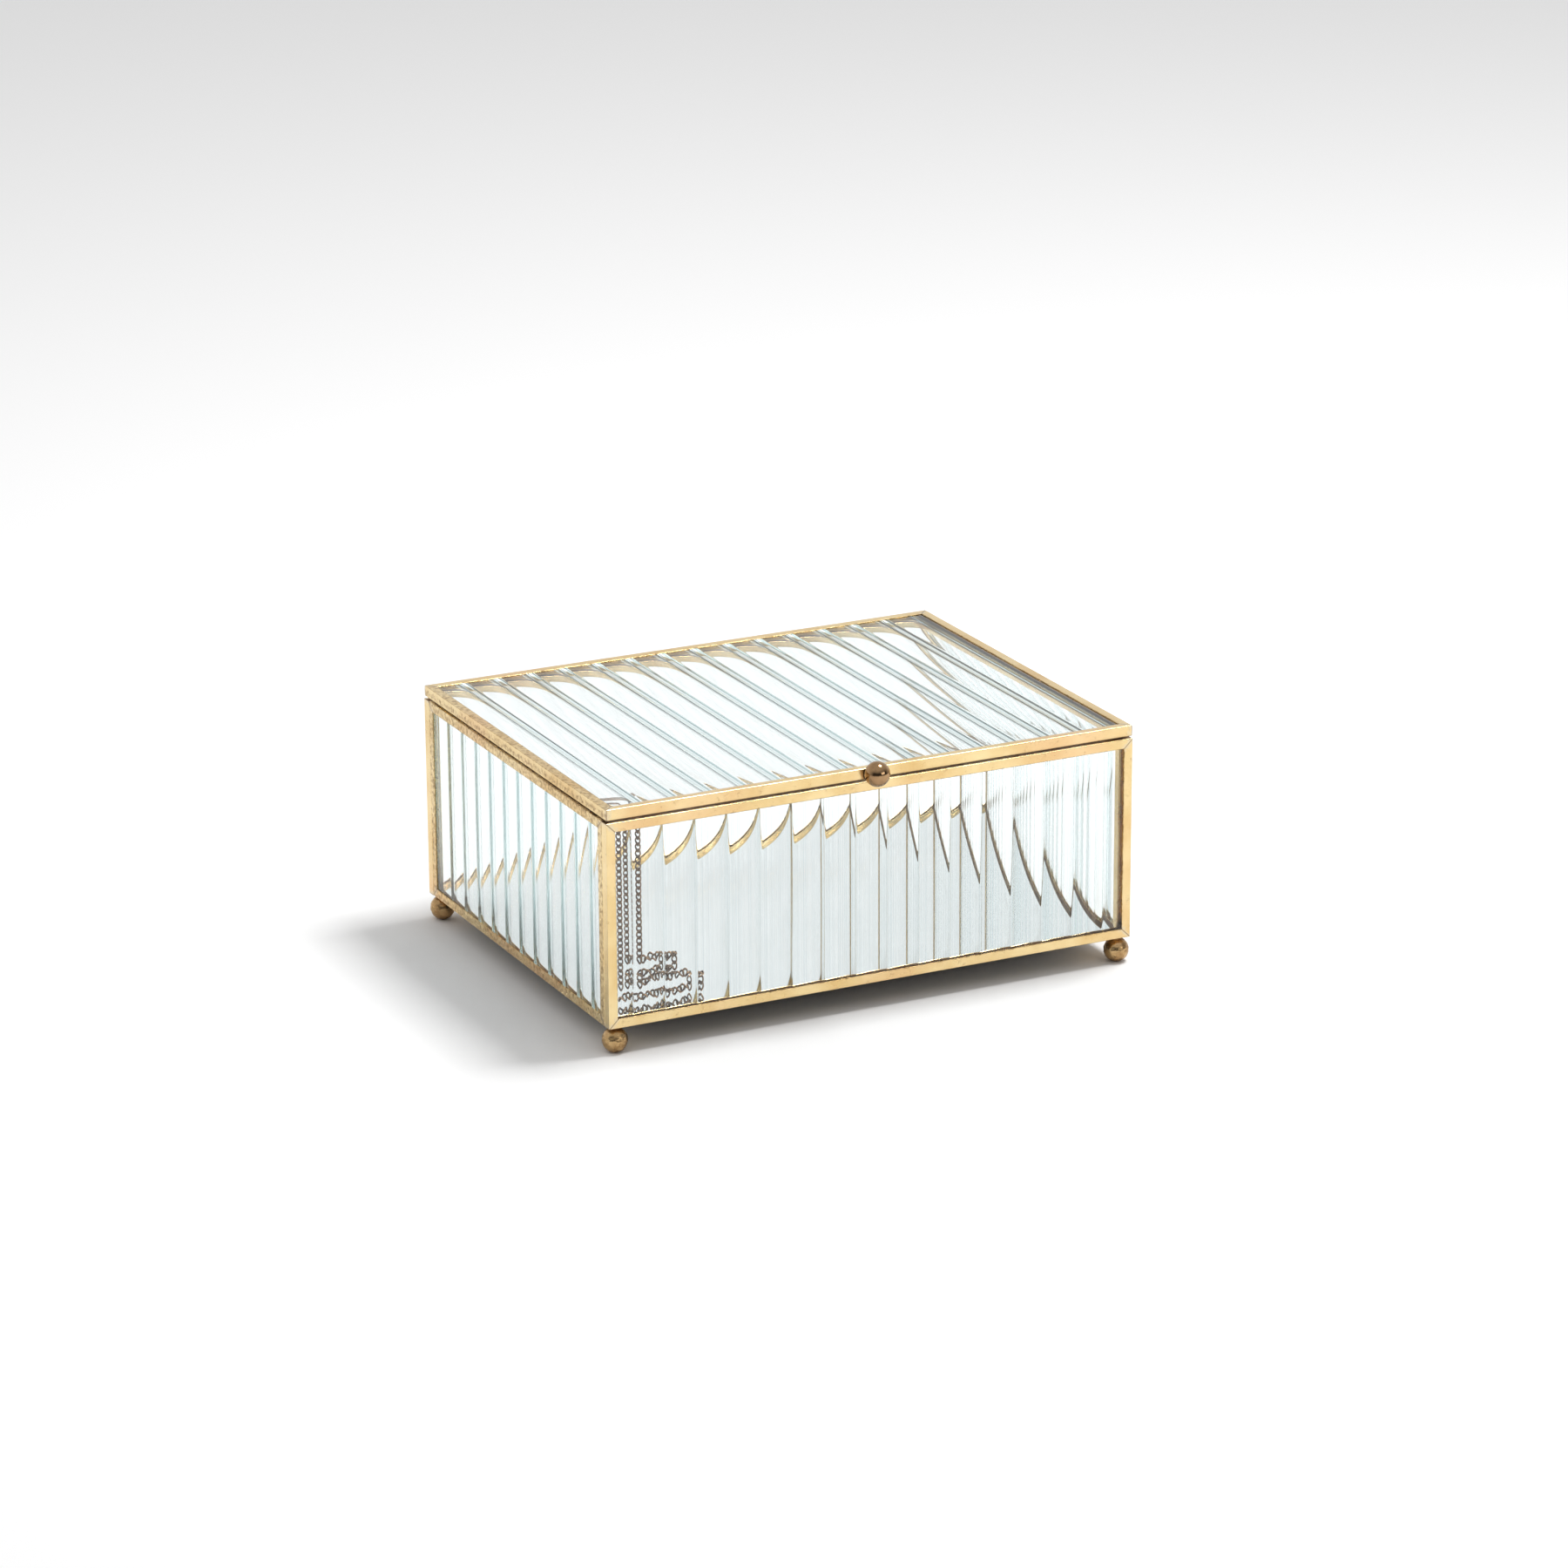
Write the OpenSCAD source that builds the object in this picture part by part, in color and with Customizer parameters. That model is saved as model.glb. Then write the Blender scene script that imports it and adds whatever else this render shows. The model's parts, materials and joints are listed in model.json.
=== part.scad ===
// Brass-framed trinket box: fluted glass walls and lid, mirror base, ball feet,
// tube hinges and a fine lid-stay chain. Millimetres, +Z up, front towards -Y.
// The origin is on the ground under the middle of the whole outline.

/* [Box] */
// Width over the side frames
body_w = 180; // [110:1:260]
// Depth over the front and back frames
body_d = 139; // [100:1:200]
// Height of the four wall frames
wall_h = 65.6; // [45:0.2:110]
// Slit between the walls and the closed lid
lid_gap = 0.8; // [0.6:0.1:2]
// How far the lid's outline lies inside the body's
lid_inset = 0.2; // [0:0.1:1]

/* [Brass channel] */
// Width of the channel's flanges
came_w = 3.0; // [2:0.1:5]
// Thickness of the channel across the glass
came_t = 3.5; // [2.6:0.1:6]
// Sheet thickness of the channel
came_wall = 0.3; // [0.2:0.05:0.6]

/* [Fluted glass] */
// Clearance between the glass and each side of its groove
glass_clear = 0.05; // [0.02:0.01:0.1]
// Clearance between the edge of the glass and the groove's web
glass_end_clear = 0.2; // [0.1:0.05:0.5]
// Spacing of the flutes in the walls
flute_pitch = 10.8; // [6:0.1:16]
// Spacing of the flutes in the lid
lid_flute_pitch = 11.6; // [6:0.1:16]
// Flat land left between two flutes
flute_land = 0.5; // [0.2:0.1:1.5]
// Depth of a flute
flute_depth = 0.9; // [0.4:0.1:2]

/* [Base] */
// Thickness of the brass corner plates
plate_t = 0.4; // [0.3:0.1:1]
// Leg of the triangular corner plates
plate_leg = 14; // [8:1:20]
// Thickness of the backing board
backing_t = 0.4; // [0.3:0.1:2]
// Thickness of the mirror
mirror_t = 1; // [0.8:0.1:4]
// Clearance round the mirror and its backing
base_clear = 0.1; // [0.05:0.05:0.5]

/* [Feet] */
// Diameter of the ball feet
foot_d = 8.1; // [5:0.1:14]
// Radius of the worn flat that a foot stands on
foot_flat_r = 1.2; // [0.5:0.1:2]
// How far a foot's middle lies inside the body's corner
foot_inset = 3.2; // [2.5:0.1:8]
// Gap between ball and frame that the solder neck fills
foot_neck = 0.5; // [0.2:0.1:2]

/* [Knob] */
// Diameter of the ball knob
knob_d = 8; // [5:0.1:14]
// How far the ball's middle stands out from the lid
knob_out = 1.7; // [1:0.1:5]
// Radius of the solder boss behind the ball
knob_boss_r = 1.6; // [0.8:0.1:2]

/* [Hinges] */
// Diameter of the hinge tubes
tube_d = 2.6; // [2:0.1:4]
// Diameter of the hinge wire
pin_d = 1.2; // [0.8:0.05:2]
// Radial clearance of the wire in its tubes
pin_clear = 0.03; // [0.01:0.01:0.1]
// Length of one tube
tube_len = 8; // [5:0.5:14]
// Gap between neighbouring tubes
tube_gap = 0.15; // [0.1:0.05:0.4]
// Gap between a tube and the walls' back face
tube_stand = 0.3; // [0.3:0.05:0.6]
// Distance of each hinge's middle from the box's middle
hinge_x = 50; // [20:1:90]

/* [Stay chain] */
// Diameter of the chain's wire
wire_d = 0.6; // [0.4:0.05:1]
// Inner diameter of a link
link_in = 2.1; // [1.6:0.1:4]
// Play between two linked rings
link_play = 0.1; // [0.05:0.05:0.3]
// Height of the lowest links over the mirror
chain_lift = 0.3; // [0.05:0.05:1]
// Distance of the body's eyelet from the side frame
eye_out = 7.3; // [2.5:0.1:10]
// Distance of both eyelets from the front face
eye_back = 14.5; // [12:0.5:40]
// Links in each of the heap's two upper runs
upper_fold_links = 6; // [4:2:12]
// Links in the heap's third run; its last run adds the strands' distance
lower_fold_links = 10; // [4:2:14]
// Links in each step between two runs
step_links = 2; // [2:2:4]
// Links that separate the two hanging strands
strand_links = 2; // [2:2:4]

/* [Hidden] */
HOLE_X = [0, 90, 0];
HOLE_Y = [90, 0, 0];
HOLE_Z = [0, 0, 0];
BRASS = [0.84, 0.69, 0.38];
DARK_BRASS = [0.42, 0.28, 0.16];
GLASS = [0.82, 0.92, 0.90, 0.35];
SILVER = [0.80, 0.82, 0.83];
BOARD = [0.16, 0.14, 0.13];

// Heights
foot_r = foot_d / 2;
foot_z = sqrt(foot_r * foot_r - foot_flat_r * foot_flat_r);
wall_z = foot_z + foot_r + foot_neck;
wall_top = wall_z + wall_h;
lid_z = wall_top + lid_gap;
lid_top = lid_z + came_t;
floor_z = wall_z + plate_t + backing_t + mirror_t;

// Plan
half_w = body_w / 2;
half_d = body_d / 2;
side_len = body_d - 2 * came_t;
lid_w = body_w - 2 * lid_inset;
lid_d = body_d - 2 * lid_inset;
lid_front = -half_d + lid_inset;
lid_back = half_d - lid_inset;

// Glass
glass_t = came_t - 2 * (came_wall + glass_clear);
glass_edge = came_wall + glass_end_clear;

// Hinges
tube_r = tube_d / 2;
bore_r = pin_d / 2 + pin_clear;
axis_y = half_d + tube_stand + tube_r;
axis_z = wall_top + lid_gap / 2;
tube_step = tube_len + tube_gap;
pin_over = 0.6;
solder_h = 1.6;

// Knob; knob_flat is the distance from the ball's middle to its flat
knob_r = knob_d / 2;
knob_y = lid_front - knob_out;
knob_z = lid_z + came_t / 2;
knob_flat = knob_out - lid_inset - 0.3;

// Whole outline, which the origin is centred under
shift_y = (knob_r - knob_y - axis_y - tube_r) / 2;

// Chain
link_r = (link_in + wire_d) / 2;
pitch = link_in - link_play;
chain_z = floor_z + link_r + wire_d / 2 + chain_lift;
rise_links = 2 * floor((wall_top - came_w - chain_z) / pitch / 2 - 0.5) + 1;
drop_links = rise_links - 3 * step_links;
eye_z = chain_z + rise_links * pitch;
eye_x = -half_w + came_t + eye_out;
eye_y = -half_d + eye_back;
lid_eye_x = eye_x + strand_links * pitch;
peg_r = 0.4;
peg_z = wall_top - came_w / 2;
strap_t = 0.5;

// The chain's legs from the lid's eyelet: direction, links, turns of odd and even links
LEGS = [
    [[0, 0, -1], drop_links, HOLE_Y, HOLE_X],
    [[1, 0, 0], upper_fold_links, HOLE_Z, HOLE_Y],
    [[0, 0, -1], step_links, HOLE_X, HOLE_Y],
    [[-1, 0, 0], upper_fold_links, HOLE_Z, HOLE_Y],
    [[0, 0, -1], step_links, HOLE_X, HOLE_Y],
    [[1, 0, 0], lower_fold_links, HOLE_Z, HOLE_Y],
    [[0, 0, -1], step_links, HOLE_X, HOLE_Y],
    [[-1, 0, 0], lower_fold_links + strand_links, HOLE_Z, HOLE_Y],
];

// Shared shapes

// A mitred length of U channel along +X: outer edge at z = 0, outer face at y = 0
module came(len) {
    difference() {
        translate([0, came_t, 0])
            rotate([90, 0, 0])
                linear_extrude(came_t)
                    polygon([[0, 0], [len, 0], [len - came_w, came_w], [came_w, came_w]]);
        translate([-1, came_wall, came_wall])
            cube([len + 2, came_t - 2 * came_wall, came_w]);
    }
}

// One of the four sides of an upright frame w by h: 0 bottom, 1 right, 2 top, 3 left
module frame_side(w, h, side) {
    color(BRASS) {
        if (side == 0) came(w);
        if (side == 1) translate([w, 0, 0]) rotate([0, -90, 0]) came(h);
        if (side == 2) translate([w, 0, h]) rotate([0, 180, 0]) came(w);
        if (side == 3) translate([0, 0, h]) rotate([0, 90, 0]) came(h);
    }
}

// The glass of an upright frame w by h: plain outside, hollow flutes up the inside.
// A whole flute is in the middle where centred is true, or else a land.
module fluted_pane(w, h, spacing, centred) {
    half = (spacing - flute_land) / 2;
    flute_r = (half * half + flute_depth * flute_depth) / (2 * flute_depth);
    inner_y = came_wall + glass_clear + glass_t;
    count = ceil(w / spacing / 2) + 1;
    color(GLASS)
        difference() {
            translate([glass_edge, inner_y - glass_t, glass_edge])
                cube([w - 2 * glass_edge, glass_t, h - 2 * glass_edge]);
            for (i = [-count:count]) {
                at = w / 2 + (i + (centred ? 0 : 0.5)) * spacing;
                if (at > -half && at < w + half)
                    translate([at, inner_y + flute_r - flute_depth, -1])
                        cylinder(r = flute_r, h = h + 2);
            }
        }
}

// Places for an upright frame's pieces: front, back, left and right walls, and the lid
module on_front() translate([-half_w, shift_y - half_d, wall_z]) children();
module on_back() translate([half_w, shift_y + half_d, wall_z]) rotate([0, 0, 180]) children();
module on_left()
    translate([-half_w, shift_y + side_len / 2, wall_z]) rotate([0, 0, -90]) children();
module on_right()
    translate([half_w, shift_y - side_len / 2, wall_z]) rotate([0, 0, 90]) children();
module on_lid()
    translate([-lid_w / 2, shift_y + lid_front, lid_top]) rotate([-90, 0, 0]) children();

// Signs of the corners: 1 front left, 2 front right, 3 back right, 4 back left
CORNERS = [[-1, -1], [1, -1], [1, 1], [-1, 1]];

// Base

module mirror() {
    color(SILVER)
        translate([-half_w + came_t + base_clear, shift_y - side_len / 2 + base_clear,
                   floor_z - mirror_t])
            cube([body_w - 2 * (came_t + base_clear), side_len - 2 * base_clear, mirror_t]);
}

module backing_board() {
    color(BOARD)
        translate([-half_w + came_t + base_clear, shift_y - side_len / 2 + base_clear,
                   wall_z + plate_t])
            cube([body_w - 2 * (came_t + base_clear), side_len - 2 * base_clear, backing_t]);
}

// A triangular plate soldered into the foot of a corner, under the backing board
module corner_plate(corner) {
    sx = CORNERS[corner - 1][0];
    sy = CORNERS[corner - 1][1];
    color(BRASS)
        translate([sx * (half_w - came_t), shift_y + sy * side_len / 2, wall_z])
            linear_extrude(plate_t)
                polygon([[0, 0], [-sx * plate_leg, 0], [0, -sy * plate_leg]]);
}

// A ball with a flat to stand on and a solder neck under the corner of the frame
module foot(corner) {
    sx = CORNERS[corner - 1][0];
    sy = CORNERS[corner - 1][1];
    neck_h = foot_neck + 0.6;
    color(BRASS)
        translate([sx * (half_w - foot_inset), shift_y + sy * (half_d - foot_inset), 0])
            difference() {
                union() {
                    translate([0, 0, foot_z]) sphere(r = foot_r);
                    translate([0, 0, wall_z - neck_h])
                        cylinder(r1 = 1.7, r2 = 2.6, h = neck_h);
                }
                translate([-foot_d, -foot_d, -foot_d]) cube([2 * foot_d, 2 * foot_d, foot_d]);
            }
}

// Knob

// A ball ground flat at the back, clear of the wall frame, on a boss on the lid's rail
module lid_knob() {
    color(DARK_BRASS)
        translate([0, shift_y + knob_y, knob_z])
            rotate([90, 0, 0])
                union() {
                    difference() {
                        sphere(r = knob_r);
                        translate([-knob_d, -knob_d, -knob_d - knob_flat])
                            cube([2 * knob_d, 2 * knob_d, knob_d]);
                    }
                    translate([0, 0, -knob_out])
                        cylinder(r = knob_boss_r, h = knob_out);
                }
}

// Hinges

// A length of hinge tube along X, from x = 0, about the hinge line
module tube(len) rotate([0, 90, 0]) cylinder(r = tube_r, h = len);

module bore(len) translate([-1, 0, 0]) rotate([0, 90, 0]) cylinder(r = bore_r, h = len + 2);

// Sign of a hinge's side: 1 left, 2 right
function hinge_mid(hinge) = hinge == 1 ? -hinge_x : hinge_x;

module on_hinge(hinge, x)
    translate([hinge_mid(hinge) + x, shift_y + axis_y, axis_z]) children();

// Two tubes with the solder that holds them to the back wall's top rail
module hinge_body_tubes(hinge) {
    color(BRASS)
        for (side = [-1, 1])
            on_hinge(hinge, side * tube_step - tube_len / 2)
                difference() {
                    union() {
                        tube(tube_len);
                        translate([0, half_d - axis_y, wall_top - solder_h - axis_z])
                            cube([tube_len, axis_y - half_d, solder_h]);
                    }
                    bore(tube_len);
                }
}

// The middle tube with the solder that holds it to the lid's back rail
module hinge_lid_tube(hinge) {
    color(BRASS)
        on_hinge(hinge, -tube_len / 2)
            difference() {
                union() {
                    tube(tube_len);
                    translate([0, lid_back - axis_y, lid_z - axis_z])
                        cube([tube_len, axis_y - lid_back, solder_h]);
                }
                bore(tube_len);
            }
}

module hinge_pin(hinge) {
    reach = 1.5 * tube_len + tube_gap + pin_over;
    color(DARK_BRASS)
        on_hinge(hinge, -reach)
            rotate([0, 90, 0])
                cylinder(d = pin_d, h = 2 * reach);
}

// Stay chain

// One ring; hole is the turn that points its hole along X, Y or Z
module link(at, hole) {
    translate(at)
        rotate(hole)
            rotate_extrude()
                translate([link_r, 0])
                    circle(d = wire_d);
}

// A ring under a bent peg that is soldered to the middle of the left wall's top rail
module body_eyelet() {
    color(BRASS)
        translate([0, shift_y, 0]) {
            link([eye_x, eye_y, eye_z], HOLE_X);
            translate([eye_x, eye_y, eye_z + link_r])
                cylinder(r = peg_r, h = peg_z - eye_z - link_r);
            translate([-half_w + came_t, eye_y, peg_z])
                rotate([0, 90, 0])
                    cylinder(r = peg_r, h = eye_out + peg_r);
        }
}

// A ring on a stem under a strap that is soldered under the lid's left rail
module lid_eyelet() {
    strap_x = -lid_w / 2 + 1.5;
    color(BRASS)
        translate([0, shift_y, 0]) {
            link([lid_eye_x, eye_y, eye_z], HOLE_X);
            translate([lid_eye_x, eye_y, eye_z + link_r])
                cylinder(r = peg_r, h = lid_z - eye_z - link_r);
            translate([strap_x, eye_y - 1, lid_z - strap_t])
                cube([lid_eye_x - strap_x + 1, 2, strap_t]);
        }
}

// Where a leg starts: the middle of the ring before its first link
function leg_start(i) =
    i == 0 ? [lid_eye_x, eye_y, eye_z] : leg_start(i - 1) + LEGS[i - 1][1] * pitch * LEGS[i - 1][0];

module links(start, leg, count) {
    color(BRASS)
        translate([0, shift_y, 0])
            for (k = [1:count])
                link(start + k * pitch * leg[0], k % 2 == 1 ? leg[2] : leg[3]);
}

module chain_leg(i) links(leg_start(i), LEGS[i], LEGS[i][1]);

// The strand on the body's eyelet; the link that would join it to the heap is left out
module chain_rise() links([eye_x, eye_y, eye_z], LEGS[0], rise_links - 2);

// Nodes

on_front() frame_side(body_w, wall_h, 0);  // front_bottom_rail
on_front() frame_side(body_w, wall_h, 1);  // front_right_post
on_front() frame_side(body_w, wall_h, 2);  // front_top_rail
on_front() frame_side(body_w, wall_h, 3);  // front_left_post
on_back() frame_side(body_w, wall_h, 0);  // back_bottom_rail
on_back() frame_side(body_w, wall_h, 1);  // back_left_post
on_back() frame_side(body_w, wall_h, 2);  // back_top_rail
on_back() frame_side(body_w, wall_h, 3);  // back_right_post
on_left() frame_side(side_len, wall_h, 0);  // left_bottom_rail
on_left() frame_side(side_len, wall_h, 1);  // left_front_post
on_left() frame_side(side_len, wall_h, 2);  // left_top_rail
on_left() frame_side(side_len, wall_h, 3);  // left_back_post
on_right() frame_side(side_len, wall_h, 0);  // right_bottom_rail
on_right() frame_side(side_len, wall_h, 1);  // right_back_post
on_right() frame_side(side_len, wall_h, 2);  // right_top_rail
on_right() frame_side(side_len, wall_h, 3);  // right_front_post
on_front() fluted_pane(body_w, wall_h, flute_pitch, true);  // front_glass
on_back() fluted_pane(body_w, wall_h, flute_pitch, true);  // back_glass
on_left() fluted_pane(side_len, wall_h, flute_pitch, false);  // left_glass
on_right() fluted_pane(side_len, wall_h, flute_pitch, false);  // right_glass
mirror();
backing_board();
corner_plate(1);  // corner_plate_1
corner_plate(2);  // corner_plate_2
corner_plate(3);  // corner_plate_3
corner_plate(4);  // corner_plate_4
foot(1);  // foot_1
foot(2);  // foot_2
foot(3);  // foot_3
foot(4);  // foot_4
on_lid() frame_side(lid_w, lid_d, 0);  // lid_front_rail
on_lid() frame_side(lid_w, lid_d, 1);  // lid_right_rail
on_lid() frame_side(lid_w, lid_d, 2);  // lid_back_rail
on_lid() frame_side(lid_w, lid_d, 3);  // lid_left_rail
on_lid() fluted_pane(lid_w, lid_d, lid_flute_pitch, true);  // lid_glass
lid_knob();
hinge_body_tubes(1);  // hinge_1_body_tubes
hinge_lid_tube(1);  // hinge_1_lid_tube
hinge_pin(1);  // hinge_1_pin
hinge_body_tubes(2);  // hinge_2_body_tubes
hinge_lid_tube(2);  // hinge_2_lid_tube
hinge_pin(2);  // hinge_2_pin
body_eyelet();
lid_eyelet();
chain_leg(0);  // chain_drop
chain_leg(1);  // chain_fold_1
chain_leg(2);  // chain_turn_1
chain_leg(3);  // chain_fold_2
chain_leg(4);  // chain_turn_2
chain_leg(5);  // chain_fold_3
chain_leg(6);  // chain_turn_3
chain_leg(7);  // chain_fold_4
chain_rise();
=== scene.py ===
import json
import math

import bpy
import numpy as np
from mathutils import Euler, Matrix, Vector


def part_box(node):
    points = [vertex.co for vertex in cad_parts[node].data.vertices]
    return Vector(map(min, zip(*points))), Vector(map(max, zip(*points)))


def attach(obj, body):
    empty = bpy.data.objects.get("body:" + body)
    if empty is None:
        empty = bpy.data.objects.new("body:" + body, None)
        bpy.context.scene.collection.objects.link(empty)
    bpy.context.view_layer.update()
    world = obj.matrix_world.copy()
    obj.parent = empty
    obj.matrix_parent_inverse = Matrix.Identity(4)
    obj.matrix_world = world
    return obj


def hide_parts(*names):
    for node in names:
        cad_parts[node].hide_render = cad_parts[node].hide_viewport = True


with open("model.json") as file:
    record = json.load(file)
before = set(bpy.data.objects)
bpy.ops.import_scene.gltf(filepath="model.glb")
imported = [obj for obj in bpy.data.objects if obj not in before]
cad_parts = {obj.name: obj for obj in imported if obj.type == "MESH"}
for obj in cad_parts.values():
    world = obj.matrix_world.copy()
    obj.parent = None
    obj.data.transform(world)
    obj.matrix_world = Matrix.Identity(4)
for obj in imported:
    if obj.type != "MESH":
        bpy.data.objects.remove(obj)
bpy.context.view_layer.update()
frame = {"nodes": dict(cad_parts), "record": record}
rng = np.random.default_rng(29)
mm = 0.001
xDir, yDir, zDir = np.eye(3)

nodes = frame["nodes"]
print("frame loaded:", len(nodes), "nodes")


def nodeBox(*names):
    # lowest and highest corner of one or more nodes, in millimetres
    boxes = np.array([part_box(name) for name in names]) / mm
    return boxes[:, 0].min(0), boxes[:, 1].max(0)


def meshPiece(name, points, faces, smoothAngle=None, attributes=None):
    # points is (n, 3) in mm, faces a list of index rows; edges stay sharp where faces meet at
    # more than smoothAngle degrees
    mesh = bpy.data.meshes.new(name)
    points = np.asarray(points, float) * mm
    mesh.from_pydata(points.tolist(), [], [tuple(int(i) for i in f) for f in faces])
    for key, values in (attributes or {}).items():
        layer = mesh.attributes.new(key, "FLOAT", "POINT")
        layer.data.foreach_set("value", np.asarray(values, np.float32).ravel())
    mesh.update()
    if smoothAngle is not None:
        mesh.shade_smooth()
        mesh.set_sharp_from_angle(angle=math.radians(smoothAngle))
    piece = bpy.data.objects.new(name, mesh)
    bpy.context.scene.collection.objects.link(piece)
    return piece


def gridFaces(rows, cols, closeRows=False, closeCols=False, start=0):
    # quads of a rows x cols grid stored row by row, wrapped round where asked
    r = np.arange(rows if closeRows else rows - 1)
    c = np.arange(cols if closeCols else cols - 1)
    rr, cc = np.meshgrid(r, c, indexing="ij")
    r2, c2 = (rr + 1) % rows, (cc + 1) % cols
    quads = np.stack([rr * cols + cc, rr * cols + c2, r2 * cols + c2, r2 * cols + cc], -1)
    return quads.reshape(-1, 4) + start


def loftFaces(rows, cols, clockwise=False):
    # walls and end caps of closed loops lofted row after row, facing outwards; clockwise says
    # that the loops run clockwise about the direction of the loft
    caps = [np.arange(cols)[::-1], np.arange(cols) + (rows - 1) * cols]
    faces = list(gridFaces(rows, cols, closeCols=True)) + caps
    return [face[::-1] for face in faces] if clockwise else faces


def unit(v):
    return v / np.linalg.norm(v, axis=-1, keepdims=True)


def placed(points, origin, *axes):
    # local columns carried to origin + x axes[0] + y axes[1] + z axes[2]
    return np.asarray(origin, float) + points @ np.array(axes, float)


def ripple(t, phase, size):
    # a slow unevenness made of three sines
    slow = np.sin(t + phase) + 0.6 * np.sin(2.3 * t + 2.1 * phase)
    return size * (slow + 0.4 * np.sin(5.1 * t + phase))


def joined(parts):
    # several (points, faces, values) made into one
    points, faces, values, start = [], [], [], 0
    for p, f, v in parts:
        points.append(p)
        faces += [tuple(int(i) + start for i in face) for face in f]
        values.append(np.broadcast_to(v, len(p)))
        start += len(p)
    return np.concatenate(points), faces, np.concatenate(values)


def finishPiece(piece, body, replaced, material):
    piece.data.materials.clear()
    piece.data.materials.append(material)
    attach(piece, body)
    if replaced:
        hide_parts(*replaced)
    return piece


# The camera comes first
viewpoint = {
    "place": (-759.8, -1551.5, 634.0),   # mm, from the ground under the box's middle
    "yaw": 26.17,                        # degrees right of straight ahead
    "pitch": 18.604,                     # degrees downward
    "roll": -0.328,
    "lens": 132.66,                      # mm on a 36 mm wide frame
}


def addCamera():
    data = bpy.data.cameras.new("camera")
    data.lens = viewpoint["lens"]
    data.sensor_width = 36
    data.clip_start = 0.01
    data.clip_end = 50
    camera = bpy.data.objects.new("camera", data)
    camera.location = Vector(viewpoint["place"]) * mm
    turn = Euler((math.radians(90 - viewpoint["pitch"]), 0, math.radians(-viewpoint["yaw"])), "XYZ")
    roll = Matrix.Rotation(math.radians(viewpoint["roll"]), 4, "Z")
    camera.rotation_euler = (turn.to_matrix().to_4x4() @ roll).to_euler()
    bpy.context.scene.collection.objects.link(camera)
    bpy.context.scene.camera = camera


addCamera()


def newGroup(name, inputs, outputs):
    group = bpy.data.node_groups.new(name, "ShaderNodeTree")
    for label, kind, value in inputs:
        socket = group.interface.new_socket(label, in_out="INPUT", socket_type=kind)
        if value is not None:
            socket.default_value = value
    for label, kind in outputs:
        group.interface.new_socket(label, in_out="OUTPUT", socket_type=kind)
    return group, group.nodes.new("NodeGroupInput"), group.nodes.new("NodeGroupOutput")


def addNode(tree, kind, values=None, **settings):
    node = tree.nodes.new(kind)
    for key, value in settings.items():
        setattr(node, key, value)
    for key, value in (values or {}).items():
        node.inputs[key].default_value = value
    return node


def mathNode(tree, operation, a, b=None, clamp=False):
    node = addNode(tree, "ShaderNodeMath", operation=operation, use_clamp=clamp)
    for i, value in enumerate((a, b)):
        if value is None:
            continue
        if isinstance(value, (int, float)):
            node.inputs[i].default_value = value
        else:
            tree.links.new(value, node.inputs[i])
    return node.outputs[0]


def rampNode(tree, source, low, high, toLow=0.0, toHigh=1.0):
    node = addNode(tree, "ShaderNodeMapRange", {"From Min": low, "From Max": high, "To Min": toLow,
                                                "To Max": toHigh})
    node.clamp = True
    tree.links.new(source, node.inputs["Value"])
    return node.outputs["Result"]


def noiseNode(tree, coords, scale, detail=4.0, roughness=0.55):
    node = addNode(tree, "ShaderNodeTexNoise", {"Detail": detail, "Roughness": roughness})
    tree.links.new(coords, node.inputs["Vector"])
    if isinstance(scale, (int, float)):
        node.inputs["Scale"].default_value = scale
    else:
        tree.links.new(scale, node.inputs["Scale"])
    return node.outputs["Fac"]


def mixColour(tree, factor, a, b):
    node = addNode(tree, "ShaderNodeMix", data_type="RGBA")
    for socket, value in ((node.inputs[0], factor), (node.inputs[6], a), (node.inputs[7], b)):
        if isinstance(value, (int, float)):
            socket.default_value = value
        elif isinstance(value, tuple):
            socket.default_value = (*value, 1)
        else:
            tree.links.new(value, socket)
    return node.outputs[2]


def newMaterial(name, metallic=0.0):
    material = bpy.data.materials.new(name)
    material.use_nodes = True
    shader = material.node_tree.nodes["Principled BSDF"]
    shader.inputs["Metallic"].default_value = metallic
    return material, material.node_tree, shader


def addBump(tree, shader, height, strength, distance=0.0002):
    bump = addNode(tree, "ShaderNodeBump", {"Strength": strength, "Distance": distance})
    tree.links.new(height, bump.inputs["Height"])
    tree.links.new(bump.outputs["Normal"], shader.inputs["Normal"])


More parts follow.
